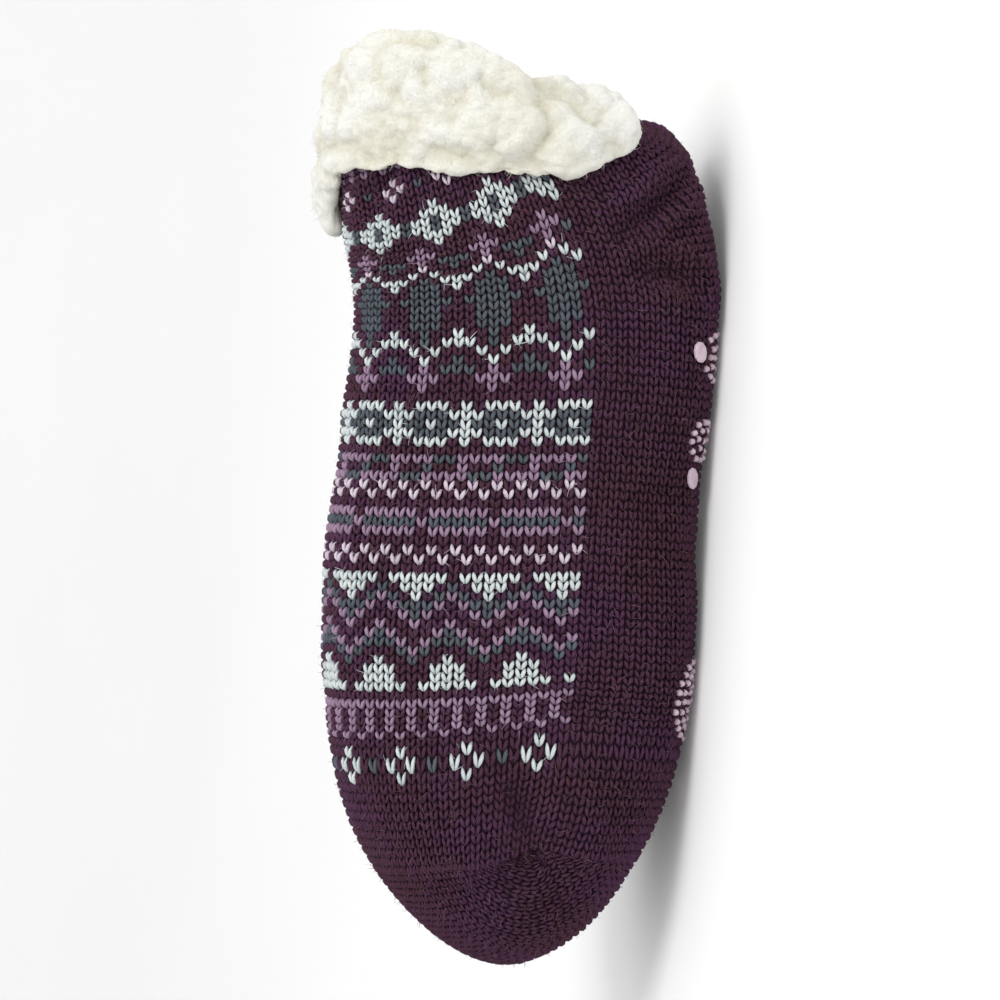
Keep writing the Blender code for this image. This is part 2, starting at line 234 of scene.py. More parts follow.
def creaseDrop(points):
    along = points[..., 0] - sock["shift"]
    up = points[..., 2] - sock["standHeight"]
    drop = np.zeros(along.shape)
    for fold in creases:
        near = np.full(along.shape, 1e9)
        share = np.zeros(along.shape)
        legs = list(zip(fold["path"][:-1], fold["path"][1:]))
        for number, (start, end) in enumerate(legs):
            dx, dz = end[0] - start[0], end[1] - start[1]
            t = np.clip(((along - start[0]) * dx + (up - start[1]) * dz) / (dx * dx + dz * dz), 0, 1)
            gap = np.hypot(along - start[0] - t * dx, up - start[1] - t * dz)
            share = np.where(gap < near, (number + t) / len(legs), share)
            near = np.minimum(near, gap)
        half = np.clip(points[..., 1] * fold["side"] / foldShape["sideFade"], 0, 1) if fold["side"] else 1.0
        taper = np.sin(math.pi * (foldShape["ends"] + (1 - 2 * foldShape["ends"]) * share))
        trough = np.exp(-(near / fold["wide"]) ** 2)
        away = (near / fold["wide"] - foldShape["ridgeAt"]) / foldShape["ridgeWide"]
        ridge = foldShape["ridge"] * np.exp(-away ** 2)
        drop = drop + fold["deep"] * taper * half * (trough - ridge)
    slack = (np.sin(along * 118 + up * 61) * np.sin(up * 97 - along * 43) * 0.00035
             + np.sin(along * 67 - up * 139 + 1.3) * 0.00022)
    lifted = np.clip((up - foldShape["soleFlat"]) / foldShape["soleFade"], 0, 1)
    return drop + slack * lifted  # the sole lies flat under the dots


def skin(station, around, inwards=0.0):
    points = wallPoints(station, around)
    normals = wallNormals(station, around)
    return points - normals * (creaseDrop(points) + inwards)[..., None]


def newPiece(name, points, faces, materials, smooth=True):
    mesh = bpy.data.meshes.new(name)
    mesh.from_pydata([tuple(map(float, point)) for point in points], [], faces)
    for material in materials:
        mesh.materials.append(material)
    mesh.polygons.foreach_set("use_smooth", [smooth] * len(mesh.polygons))
    mesh.update()
    piece = bpy.data.objects.new(name, mesh)
    bpy.context.scene.collection.objects.link(piece)
    return piece


def cloudy(graph, place, scale, detail, roughness=0.5, distortion=0.0):
    return graph.node("ShaderNodeTexNoise", None, {"Vector": place, "Scale": scale, "Detail": detail,
                                                   "Roughness": roughness, "Distortion": distortion})


def newMaterial(name):
    material = bpy.data.materials.new(name)
    material.use_nodes = True
    graph = Graph(material.node_tree)
    return material, graph, graph.node("ShaderNodeTexCoord", out="Object")


def finish(graph, values):
    shader = graph.node("ShaderNodeBsdfPrincipled", None, values)
    graph.node("ShaderNodeOutputMaterial", None, {"Surface": shader})


def store(mesh, label, values, kind="FLOAT"):  # one value for every vertex
    layer = mesh.attributes.new(label, kind, "POINT")
    layer.data.foreach_set("value" if kind == "FLOAT" else "vector", np.asarray(values, np.float32).ravel())


# Yarn: matte, fibrous, a little fuzz at grazing light, each stitch a touch different, low parts of each
# stitch painted darker as painted shade
def yarnMaterial(name, main, second, shadeAndSpeck, mottle=0.5):
    material, graph, place = newMaterial(name)
    fibres = cloudy(graph, place, 2300, 4, 0.65)
    heather = cloudy(graph, place, 620, 3, 0.6)
    clouds = cloudy(graph, place, 46, 3, 0.55)
    shade = graph.node("ShaderNodeAttribute", {"attribute_name": "shade"}, out="Fac")
    tint = graph.mixColour(graph.spread(clouds * 0.45 + heather * 0.55, 0.38, 0.62) * mottle, main, second)
    rise = graph.node("ShaderNodeAttribute", {"attribute_name": "rise"}, out="Fac")
    # painted shade: the lower a point sits in its stitch (small "rise"), the more it takes the darker
    # colour; a piece with no "rise" takes it too
    depth = graph.spread(rise + fibres * 0.10 + shade * 0.07, -0.08, 0.24, 1.0, 0.0)
    # fibre speckle towards the same darker colour: the yarn's own tone
    speck = graph.spread(fibres * 0.6 + shade * 0.4, 0.30, 0.60, 0.35, 0.0)
    final = graph.mixColour(speck, graph.mixColour(depth, tint, shadeAndSpeck), shadeAndSpeck)
    bump = graph.node("ShaderNodeBump", None, {"Strength": 0.75, "Distance": 0.00022, "Height": fibres})
    finish(graph, {"Base Color": final, "Roughness": 0.82 + fibres * 0.16, "Normal": bump,
                   "Sheen Weight": 0.12, "Sheen Roughness": 0.45, "Sheen Tint": main,
                   "Specular IOR Level": 0.2})
    return material


def fleeceMaterial(name):
    material, graph, place = newMaterial(name)
    curls = cloudy(graph, place, 1050, 5, 0.7, 0.8)
    fluff = cloudy(graph, place, 260, 4, 0.6)
    clouds = cloudy(graph, place, 38, 2)
    lift = graph.node("ShaderNodeAttribute", {"attribute_name": "lift"}, out="Fac")
    warm = graph.mixColour(graph.spread(clouds, 0.4, 0.62), colour(237, 236, 229), colour(231, 229, 216))
    # painted shade: where "lift" is low, in the lump valleys and down inside the cuff, the fleece turns
    # darker and yellower (colour 210, 204, 180)
    paintedHollowShade = graph.spread(lift + fluff * 0.22, 0.20, 0.70, 0.60, 0.0)
    final = graph.mixColour(paintedHollowShade, warm, colour(210, 204, 180))
    bump = graph.node("ShaderNodeBump", None,
                      {"Strength": 0.9, "Distance": 0.00060, "Height": curls + fluff * 0.8})
    finish(graph, {"Base Color": final, "Roughness": 0.9 + curls * 0.1, "Normal": bump,
                   "Sheen Weight": 0.25, "Sheen Roughness": 0.6, "Specular IOR Level": 0.15})
    return material


def siliconeMaterial(name):
    material, graph, place = newMaterial(name)
    clouds = cloudy(graph, place, 300, 3)
    grain = cloudy(graph, place, 1800, 2)
    tint = graph.mixColour(graph.spread(clouds, 0.35, 0.65), colour(214, 193, 205), colour(196, 172, 188))
    bump = graph.node("ShaderNodeBump", None,
                      {"Strength": 0.35, "Distance": 0.0002, "Height": clouds + grain * 0.3})
    finish(graph, {"Base Color": tint, "Roughness": 0.36 + clouds * 0.2, "Normal": bump,
                   "Specular IOR Level": 0.4})
    return material


def floorMaterial():
    material, graph, place = newMaterial("pale_floor")
    tint = graph.mixColour(cloudy(graph, place, 6, 3), (0.90, 0.90, 0.90, 1), (0.94, 0.94, 0.94, 1))
    finish(graph, {"Base Color": tint, "Roughness": 0.9, "Emission Color": tint, "Emission Strength": 0.06})
    return material


yarns = {
    ".": yarnMaterial("plum_yarn", colour(79, 47, 75), colour(75, 45, 56), colour(43, 25, 38), 1.0),
    "L": yarnMaterial("lilac_yarn", colour(160, 134, 158), colour(144, 117, 141), colour(100, 76, 98)),
    "S": yarnMaterial("slate_yarn", colour(90, 96, 105), colour(80, 88, 92), colour(48, 49, 56)),
    "W": yarnMaterial("white_yarn", colour(216, 222, 222), colour(198, 210, 210), colour(150, 158, 162)),
    "P": yarnMaterial("pale_pink_yarn", colour(216, 202, 214), colour(202, 184, 200), colour(150, 130, 148))}
fleece = fleeceMaterial("cream_sherpa")
silicone = siliconeMaterial("lilac_silicone")
# the plum fuzz is a lighter copy of the plum yarn: painted highlight on the stray fibres
plumFluff = yarnMaterial("plum_fluff", colour(116, 88, 108), colour(110, 82, 88), colour(70, 46, 62), 1.0)
print("materials made")


# The knit ground under the stitches: a thin closed shell of the plum yarn; with no "rise" heights it takes
# mostly the yarn's darker colour, painted shade between the stitches
ground = dict(rows=104, around=84, sink=0.0011, thick=0.0009)


def closedShell(name, stations, around, outer, inner, material):
    count = len(around)
    points = np.concatenate([part for layer in (outer, inner)
                             for part in (layer[:-1].reshape(-1, 3), layer[-1, :1])])
    rows = len(stations) - 1
    half = rows * count + 1
    faces = []
    for row in range(rows - 1):
        for spot in range(count):
            low, high = row * count + spot, row * count + (spot + 1) % count
            faces.append((low, high, high + count, low + count))
            faces.append((half + low, half + low + count, half + high + count, half + high))
    last = (rows - 1) * count
    for spot in range(count):
        after = (spot + 1) % count
        faces.append((last + spot, last + after, half - 1))
        faces.append((half + last + after, half + last + spot, 2 * half - 1))
        faces.append((after, spot, half + spot, half + after))
    return newPiece(name, points, faces, [material])


def stationRows(count):  # rows closer together at the heel and the toe tip
    even = np.linspace(0, 1, count)
    rows = smoothBetween([0, 0.3, 0.78, 1], [0, 0.19, 0.86, 1], even)
    nose = np.clip((rows - 0.86) / 0.14, 0, 1)
    return np.where(rows > 0.86, 0.86 + 0.14 * np.sin(nose * math.pi / 2), rows)


def makeGround():
    stations = stationRows(ground["rows"])
    around = np.arange(ground["around"]) / ground["around"]
    inwards = np.full((len(stations), len(around)), ground["sink"])
    outer = skin(stations[:, None], around[None, :], inwards)
    inner = skin(stations[:, None], around[None, :], inwards + ground["thick"])
    outer[-1] = outer[-2].mean(axis=0) + [0.0004, 0, 0]  # the toe tip
    inner[-1] = outer[-1] - [ground["thick"], 0, 0]
    return closedShell("knit_ground", stations, around, outer, inner, yarns["."])


knitGround = makeGround()
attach(knitGround, "root")
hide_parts("knit_sock")
print("knit ground made")


# The colour pattern as a chart: six stitches wide, one line a row, from the cuff to the toe
# (. plum, W white, P pale pink, L lilac, S slate)
chart = dict(firstRow=-7, rows=[
    "L.L.L.", "L.L.L.", "L.L.L.", "......",
    ".P....", "P.P.S.", ".P....", "......",
    ".....W", "W...WW", "WWSWWS", "WWSWWS", "W...WW", ".....W",
    "...L..", "..LLL.", "SS.L.S", "S..P..", "..W.W.", "WW.S.W", "W.SSS.",
    "..SSS.", ".SSSSS", "..SSS.", "..SSS.", "..SSS.", "W..S..", "WW.S.W",
    "..W.W.", "S..W..", "SS.L.S", "..LLL.", "...L..", "......",
    ".W.WWW", "WWWSSS", "SWSSWS", "WWWSSS", ".W.WWW", "......",
    "SLLLLS", ".L..S.", "LLSSLL",
    "P.P.P.", ".P.P.P", "......",
    "LLLL.L", "SSSSLS", "LLLL.L", "......",
    ".P.P.P", "P.P.P.", "......",
    "W.WWWW", ".S.WWW", "SLS.W.", "L.LSSS", "...LSL", ".L..L.", "LSL...", "SSSL.L", "...SLS",
    ".W..S.", "WWW...", "WWW...", "WWWW.W", "......",
    "LLLLLL", "L.L.L.", "L.L.L.", "L.L.L.", ".L.L.L", "......",
    "...W..", "S.W.W.", "...W.."])
rowTable = [  # row, distance along the sock in millimetres, how far the crown runs ahead of the side
    (-13.0, 0.0, 22.0), (-8.0, 9.5, 22.0), (3.5, 31.6, 19.3), (15.5, 54.8, 9.5), (29.0, 87.3, 5.2),
    (36.0, 103.5, 5.0), (46.0, 128.0, 5.3), (58.0, 156.0, 8.0), (62.0, 164.4, 10.0), (65.0, 170.2, 10.3),
    (66.0, 172.7, 10.3), (68.0, 179.6, 10.3), (69.5, 183.4, 10.3), (78.5, 205.0, 10.3)]
knit = dict(panelWales=24, soleWales=20, panelEdge=0.42, rowHeight=0.00236, pivotUp=0.038,
            relief=0.0036, sink=0.00042, lastRow=78.5, fanOverlap=0.0009, fanCrown=0.045, fanSpread=89.2,
            fanRows=150, fanAround=120, fanBends=90, fanTilts=141)


def laneTable(fromWay, toWay):  # at every station, the ways that lie at even steps along the cloth
    stations = np.linspace(0, 0.90, 181)
    shares = np.linspace(0, 1, 49)
    fine = np.linspace(fromWay, toWay, 161)
    ways = []
    for station in stations:
        line = wallPoints(station, fine / 2)
        run = runAlong(line)
        ways.append(np.interp(shares * run[-1], run, fine))
    return stations, shares, np.array(ways)


def wayAt(lane, station, share):
    stations, shares, ways = lane
    station, share = np.broadcast_arrays(station, share)
    row = np.clip(station / stations[-1] * (len(stations) - 1), 0, len(stations) - 1.001)
    column = np.clip(share * (len(shares) - 1), 0, len(shares) - 1.001)
    i, j = row.astype(int), column.astype(int)
    u, v = row - i, column - j
    return ((ways[i, j] * (1 - v) + ways[i, j + 1] * v) * (1 - u)
            + (ways[i + 1, j] * (1 - v) + ways[i + 1, j + 1] * v) * u)


panelLane = laneTable(1.0, knit["panelEdge"])
soleLane = laneTable(0.0, knit["panelEdge"])


def onSide(way, side):
    return np.where(np.asarray(side) > 0, way / 2, 1 - way / 2)


def panelPlace(row, share, side):  # share 0 at the crown, 1 at the edge of the pattern
    ahead = np.cos(np.clip(share, 0, 1) * math.pi / 2) - 0.5
    along = (fromTable(rowTable, 1, row) + fromTable(rowTable, 2, row) * ahead) / 1000
    station = np.clip(along / sock["footLength"], 0, 1)
    return skin(station, onSide(wayAt(panelLane, station, share), side))


def solePlace(station, share, side):  # share 0 at the middle of the sole
    return skin(station, onSide(wayAt(soleLane, station, share), side))


def edgeStation(row):
    return (fromTable(rowTable, 1, row) - 0.5 * fromTable(rowTable, 2, row)) / 1000 / sock["footLength"]


stitches = []  # place, along the wale towards the toe, across, colour, part of the sock


def addStitches(places, alongs, acrosses, yarn, part):
    for place, along, across in zip(places, alongs, acrosses):
        stitches.append((place, along, across, yarn, part))


def panelStitches():
    rows = np.arange(-12, int(knit["lastRow"]) + 1)
    wales = knit["panelWales"]
    for side in (1, -1):
        for wale in range(wales):
            share = (wale + 0.5) / wales
            middle = panelPlace(rows, share, side)
            along = panelPlace(rows + 0.5, share, side) - panelPlace(rows - 0.5, share, side)
            across = (panelPlace(rows, share + 0.5 / wales, side)
                      - panelPlace(rows, share - 0.5 / wales, side))
            column = wale % 6 if side > 0 else 5 - wale % 6
            for number, row in enumerate(rows):
                line = row - chart["firstRow"]
                yarn = chart["rows"][line][column] if 0 <= line < len(chart["rows"]) else "."
                stitches.append((middle[number], along[number], across[number], yarn, "panel"))


def soleStitches():
    wales = knit["soleWales"]
    rows = np.arange(0, int(knit["lastRow"]) + 1)
    rows = rows[edgeStation(rows - 0.5) > heelEnd - 0.004]
    for side in (1, -1):
        for wale in range(wales):
            share = (wale + 0.5) / wales
            middle = solePlace(edgeStation(rows), share, side)
            along = (solePlace(edgeStation(rows + 0.5), share, side)
                     - solePlace(edgeStation(rows - 0.5), share, side))
            across = (solePlace(edgeStation(rows), share + 0.5 / wales, side)
                      - solePlace(edgeStation(rows), max(share - 0.5 / wales, 0), side))
            addStitches(middle, along, across, ".", "sole")
    return edgeStation(rows[0] - 0.5)


def alongLine(line, rowHeight, offset=0.5):  # even places along a line of points, and its directions
    run = runAlong(line)
    count = max(int(round(run[-1] / rowHeight)), 1)
    at = (np.arange(count) + offset) * run[-1] / count
    ahead = pointAt(at + rowHeight / 2, run, line)
    behind = pointAt(at - rowHeight / 2, run, line)
    return at / run[-1], pointAt(at, run, line), unit(ahead - behind) * run[-1] / count


def heelStitches(start):
    wales = knit["soleWales"]
    stations = np.linspace(start, 0, 160)
    for side in (1, -1):
        for wale in range(wales):
            share = (wale + 0.5) / wales
            line = solePlace(stations, share, side)
            at, place, along = alongLine(line, knit["rowHeight"])
            left = solePlace(stations, share + 0.5 / wales, side)
            right = solePlace(stations, share - 0.5 / wales, side)
            gap = pointAt(at, np.linspace(0, 1, len(stations)), left - right)
            addStitches(place, -along, gap, ".", "heel")


def toeStitches():
    fanStart = edgeStation(knit["lastRow"]) * sock["footLength"] + sock["shift"] - knit["fanOverlap"]
    pivot = Vector((fanStart, 0, knit["pivotUp"] + sock["standHeight"]))
    stations = stationRows(knit["fanRows"])
    ring = knit["fanAround"] + 1
    around = np.arange(ring) / knit["fanAround"]
    cloth = skin(stations[:, None], around[None, :])
    quads = [(r * ring + c, r * ring + c + 1, (r + 1) * ring + c + 1, (r + 1) * ring + c)
             for r in range(knit["fanRows"] - 1) for c in range(knit["fanAround"])]
    surface = BVHTree.FromPolygons([Vector(point) for point in cloth.reshape(-1, 3)], quads)
    startBend = math.atan2(knit["fanCrown"], fromTable(rowTable, 2, knit["lastRow"]) / 1000)
    bends = np.linspace(startBend, -math.pi / 2, knit["fanBends"])
    tilts = np.radians(np.linspace(-knit["fanSpread"], knit["fanSpread"], knit["fanTilts"]))
    table = np.zeros((len(bends), len(tilts), 3))
    for i, bend in enumerate(bends):
        for j, tilt in enumerate(tilts):
            ray = Vector((math.cos(bend) * math.cos(tilt), math.sin(tilt), math.sin(bend) * math.cos(tilt)))
            hit = surface.ray_cast(pivot, ray)[0]
            table[i, j] = hit if hit is not None else pivot
    middle = len(tilts) // 2
    run = runAlong(table.transpose(1, 0, 2)).T
    run = run - run[:, middle:middle + 1]
    turn = (bends[0] - bends) / (bends[0] - bends[-1])
    for side in (1, -1):
        reach = np.abs(run[:, -1] if side > 0 else run[:, 0])
        atTop = reach[0] / knit["panelWales"]
        atSole = reach[-1] / knit["soleWales"]
        pitch = atTop + (atSole - atTop) * (3 * turn**2 - 2 * turn**3)

        def placeAt(number, wide):
            return np.array([[np.interp(side * (number + 0.5 + wide) * pitch[i], run[i], table[i, :, axis])
                              for axis in range(3)] for i in range(len(bends))])

        for number in range(knit["panelWales"]):
            inside = (number + 0.5) * pitch < reach - 0.2 * pitch
            last = len(bends) if inside.all() else int(np.argmin(inside))
            if last < 3:
                continue
            line = placeAt(number, 0)[:last]
            wide = (placeAt(number, 0.5) - placeAt(number, -0.5))[:last]
            at, place, along = alongLine(line, knit["rowHeight"])
            lineRun = runAlong(line)
            gap = pointAt(at * lineRun[-1], lineRun, wide)
            addStitches(place, along, gap, ".", "toe")


panelStitches()
heelStitches(soleStitches())
toeStitches()
print("stitches placed:", len(stitches))

# A stitch: two legs that meet in a point towards the toe, each bent out over the cloth
stitch = dict(top=(0.36, 0.56, -0.12), middle=(0.27, 0.00, 0.28), tip=(0.07, -0.60, -0.12),
              thin=0.100, swell=0.100, segments=3, sides=5, soleSides=4,
              coreUp=0.42, stray=0.00005, tilt=0.035, uneven=0.03, shade=0.2)


def startTree(name, result, asked):  # a tree with named inputs: the carrier, the sizes and the finish
    tree = bpy.data.node_groups.new(name, "GeometryNodeTree")
    graph = Graph(tree)
    for label, kind in (("Carrier", "Geometry"), *asked, ("Finish", "Material")):
        tree.interface.new_socket(label, in_out="INPUT", socket_type="NodeSocket" + kind)
    tree.interface.new_socket(result, in_out="OUTPUT", socket_type="NodeSocketGeometry")
    given = tree.nodes.new("NodeGroupInput")
    return tree, graph, {socket.name: Wire(graph, socket) for socket in given.outputs if socket.name}


def carried(graph, name):
    return graph.node("GeometryNodeInputNamedAttribute", {"data_type": "FLOAT_VECTOR"}, {"Name": name})


def endTree(graph, inputs, shape, turn, size):  # one shape on every point of the carrier, made real
    placed = graph.node("GeometryNodeInstanceOnPoints", None,
                        {"Points": inputs["Carrier"], "Instance": shape, "Rotation": turn, "Scale": size})
    whole = graph.node("GeometryNodeRealizeInstances", None, {"Geometry": placed})
    whole = graph.node("GeometryNodeSetMaterial", None, {"Geometry": whole, "Material": inputs["Finish"]})
    graph.node("NodeGroupOutput", None, {0: whole})


def onCloth(graph):  # turned to stand out of the cloth, with its own left and right
    outward, across = carried(graph, "outward"), carried(graph, "across")
    return graph.node("FunctionNodeAxesToRotation", {"primary_axis": "Z", "secondary_axis": "X"},
                      {"Primary Axis": outward, "Secondary Axis": across})


def stitchTree():
    tree, graph, inputs = startTree("knit_stitches", "Stitches",
                                    (("Thin", "Float"), ("Swell", "Float"), ("Sides", "Int")))
    factor = graph.node("GeometryNodeSplineParameter", out="Factor")
    hump = graph.node("ShaderNodeMath", {"operation": "SINE"}, {0: factor * math.pi})
    radius = inputs["Thin"] + inputs["Swell"] * hump
    profile = graph.node("GeometryNodeCurvePrimitiveCircle", None,
                         {"Resolution": inputs["Sides"], "Radius": 1.0})
    legs = []
    for side in (1, -1):
        ends = {label: (side * stitch[key][0], stitch[key][1], stitch[key][2])
                for label, key in (("Start", "top"), ("Middle", "middle"), ("End", "tip"))}
        path = graph.node("GeometryNodeCurveQuadraticBezier", None,
                          {"Resolution": stitch["segments"], **ends})
        leg = {"Curve": path, "Profile Curve": profile, "Scale": radius, "Fill Caps": True}
        legs.append(graph.node("GeometryNodeCurveToMesh", None, leg))
    both = graph.node("GeometryNodeJoinGeometry", None, {"Geometry": legs})
    both = graph.node("GeometryNodeSetShadeSmooth", None, {"Geometry": both, "Shade Smooth": True})
    # each point's height in its stitch, kept as "rise": the mask for the yarn's painted shade on the low
    # parts
    place = graph.node("GeometryNodeInputPosition")
    depth = graph.node("ShaderNodeSeparateXYZ", None, {0: place}, out=2)
    both = graph.node("GeometryNodeStoreNamedAttribute", {"data_type": "FLOAT", "domain": "POINT"},
                      {"Geometry": both, "Name": "rise", "Value": depth})
    endTree(graph, inputs, both, onCloth(graph), carried(graph, "size"))
    return tree


def carrier(name, places, vectors, shades):
    mesh = bpy.data.meshes.new(name)
    mesh.from_pydata([tuple(map(float, place)) for place in places], [], [])
    for label, values in vectors.items():
        store(mesh, label, values, "FLOAT_VECTOR")
    store(mesh, "shade", shades)
    piece = bpy.data.objects.new(name, mesh)
    bpy.context.scene.collection.objects.link(piece)
    return piece


def grown(piece, tree, values):  # runs the tree once and keeps its result as a plain mesh
    modifier = piece.modifiers.new("grow", "NODES")
    modifier.node_group = tree
    for item in tree.interface.items_tree:
        if item.in_out == "INPUT" and item.name in values:
            modifier[item.identifier] = values[item.name]
    layers = bpy.context.evaluated_depsgraph_get()
    layers.update()
    mesh = bpy.data.meshes.new_from_object(piece.evaluated_get(layers), preserve_all_data_layers=True,
                                           depsgraph=layers)
    piece.modifiers.clear()
    piece.data = mesh
    mesh.name = piece.name
    for label in ("outward", "across", "size"):
        if label in mesh.attributes:
            mesh.attributes.remove(mesh.attributes[label])
    return piece


# Fuzz: short bent fibres that stand out of the yarn
fuzz = dict(perStitch=2, length=0.0019, spread=0.0007, thin=0.026, lean=1.5, above=0.0003,
            uneven=0.35, shortest=0.4, longest=2, clear=0.0002)


def fuzzTree():
    tree, graph, inputs = startTree("yarn_fuzz", "Fuzz", (("Thin", "Float"),))
    factor = graph.node("GeometryNodeSplineParameter", out="Factor")
    bend = {"Resolution": 2, "Start": (0, 0, 0), "Middle": (0.02, 0, 0.55), "End": (0.55, 0, 0.75)}
    path = graph.node("GeometryNodeCurveQuadraticBezier", None, bend)
    flat = graph.node("GeometryNodeCurvePrimitiveLine", None, {"Start": (-1, 0, 0), "End": (1, 0, 0)})
    hair = graph.node("GeometryNodeCurveToMesh", None,
                      {"Curve": path, "Profile Curve": flat, "Scale": inputs["Thin"] * (1.0 - factor * 0.7)})
    # a fixed "rise" that keeps the hairs out of the yarn's painted shade
    hair = graph.node("GeometryNodeStoreNamedAttribute", {"data_type": "FLOAT", "domain": "POINT"},
                      {"Geometry": hair, "Name": "rise", "Value": 0.3})
    endTree(graph, inputs, hair, onCloth(graph), carried(graph, "size"))
    return tree


def makeFuzz(places, outward, level, yarnOf):
    chance = np.random.RandomState(29)
    tree = fuzzTree()
    for yarn, material in yarns.items():
        material = plumFluff if yarn == "." else material
        chosen = np.repeat([number for number, one in enumerate(yarnOf) if one == yarn], fuzz["perStitch"])
        count = len(chosen)
        ahead = unit(np.cross(outward[chosen], level[chosen]))
        angle = chance.uniform(0, 2 * math.pi, count)[:, None]
        sideways = level[chosen] * np.cos(angle) + ahead * np.sin(angle)
        shift = chance.normal(0, fuzz["spread"], (count, 2))
        roots = (places[chosen] + level[chosen] * shift[:, :1] + ahead * shift[:, 1:]
                 + outward[chosen] * fuzz["above"])
        away = unit(outward[chosen] + sideways * fuzz["lean"] * chance.uniform(0, 1, (count, 1)))
        long = fuzz["length"] * np.clip(chance.normal(1, fuzz["uneven"], (count, 1)),
                                         fuzz["shortest"], fuzz["longest"])
        lowest = roots[:, 2] + (np.minimum(away[:, 2], 0) - 0.4) * long[:, 0]
        clear = lowest > fuzz["clear"]  # only hairs that stay above the floor
        piece = carrier(material.name.split("_yarn")[0] + "_fuzz", roots[clear],
                        {"outward": away[clear], "across": sideways[clear],
                         "size": np.repeat(long[clear], 3, axis=1)}, chance.uniform(0, 1, int(clear.sum())))
        grown(piece, tree, {"Thin": fuzz["thin"], "Finish": material})
        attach(piece, "root")
        print("fuzz", yarn, count, "faces", len(piece.data.polygons))


def makeStitches():
    chance = np.random.RandomState(7)
    places = np.array([one[0] for one in stitches])
    along = np.array([one[1] for one in stitches])
    across = np.array([one[2] for one in stitches])
    inside = places * [1, 0, 0] + [0, 0, stitch["coreUp"] * sock["instepHeight"]]
    outward = unit(np.cross(across, along))
    outward = outward * np.sign((outward * (places - inside)).sum(axis=-1, keepdims=True))
    level = unit(np.cross(outward, along))
    width = np.abs((across * level).sum(axis=-1))
    height = np.linalg.norm(along, axis=-1)
    places = places - outward * knit["sink"] + chance.normal(0, stitch["stray"], places.shape)
    tilt = chance.normal(0, stitch["tilt"], len(places))[:, None]
    level = unit(level + unit(along) * tilt)
    size = np.stack([width * chance.normal(1.0, stitch["uneven"], len(width)),
                     height * chance.normal(1.0, stitch["uneven"], len(width)),
                     np.full(len(width), knit["relief"])], axis=-1)
    shades = np.clip(chance.normal(0.5, stitch["shade"], len(places)), 0, 1)
    tree = stitchTree()
    groups = {}
    for number, one in enumerate(stitches):
        bare = one[3] != "."
        label = {"W": "white", "L": "lilac", "S": "slate", "P": "pale_pink"}[one[3]] if bare else one[4]
        groups.setdefault((label, one[3]), []).append(number)
    for (label, yarn), chosen in groups.items():
        vectors = {"outward": outward[chosen], "across": level[chosen], "size": size[chosen]}
        piece = carrier("stitches_" + label, places[chosen], vectors, shades[chosen])
        sides = stitch["soleSides"] if label in ("sole", "heel", "toe") else stitch["sides"]
        grown(piece, tree, {"Thin": stitch["thin"], "Swell": stitch["swell"], "Sides": sides,
                            "Finish": yarns[yarn]})
        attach(piece, "root")
        print("stitches", label, len(chosen), "faces", len(piece.data.polygons))
    makeFuzz(places, outward, level, [one[3] for one in stitches])


makeStitches()

# The turned-down sherpa cuff: its section runs from the free edge up over the rim and down inside
cuff = dict(outside=0.0072, inside=0.0055, depth=0.024, turn=0.030, around=400, soften=4, edgeBulge=0.0022,
            edgeThick=0.55, rimHeight=0.8, edgeSteps=10, outerSteps=64, rimSteps=34, innerSteps=44,
            backSteps=8,
            turns=[  # way from heel to crown, near turn, far turn, pile
                (0.00, 0.16, 0.18, 0.60), (0.12, 0.22, 0.26, 0.74), (0.19, 0.42, 0.44, 1.00),
                (0.25, 0.66, 0.62, 1.04), (0.31, 0.80, 0.76, 0.88), (0.36, 0.84, 0.86, 0.92),
                (0.45, 0.88, 1.00, 1.02), (0.62, 0.95, 1.15, 1.00), (0.78, 0.93, 1.28, 1.00),
                (0.90, 0.83, 1.36, 1.00), (1.00, 0.92, 0.92, 1.00)],
            lumps=[(0.0125, 0.0027), (0.0064, 0.0014), (0.0029, 0.0006)],
            hairs=7000, hairLength=0.0021, hairThin=0.022, hairLean=(0.2, 1.8), hairUneven=0.3,
            hairRoot=0.0003, hairLift=0.7)


def turnedDown(around):
    way = 1 - np.abs(1 - 2 * (around % 1.0))
    near = fromTable(cuff["turns"], 1, way)
    far = fromTable(cuff["turns"], 2, way)
    return np.where(around % 1.0 <= 0.5, near, far) * cuff["turn"]


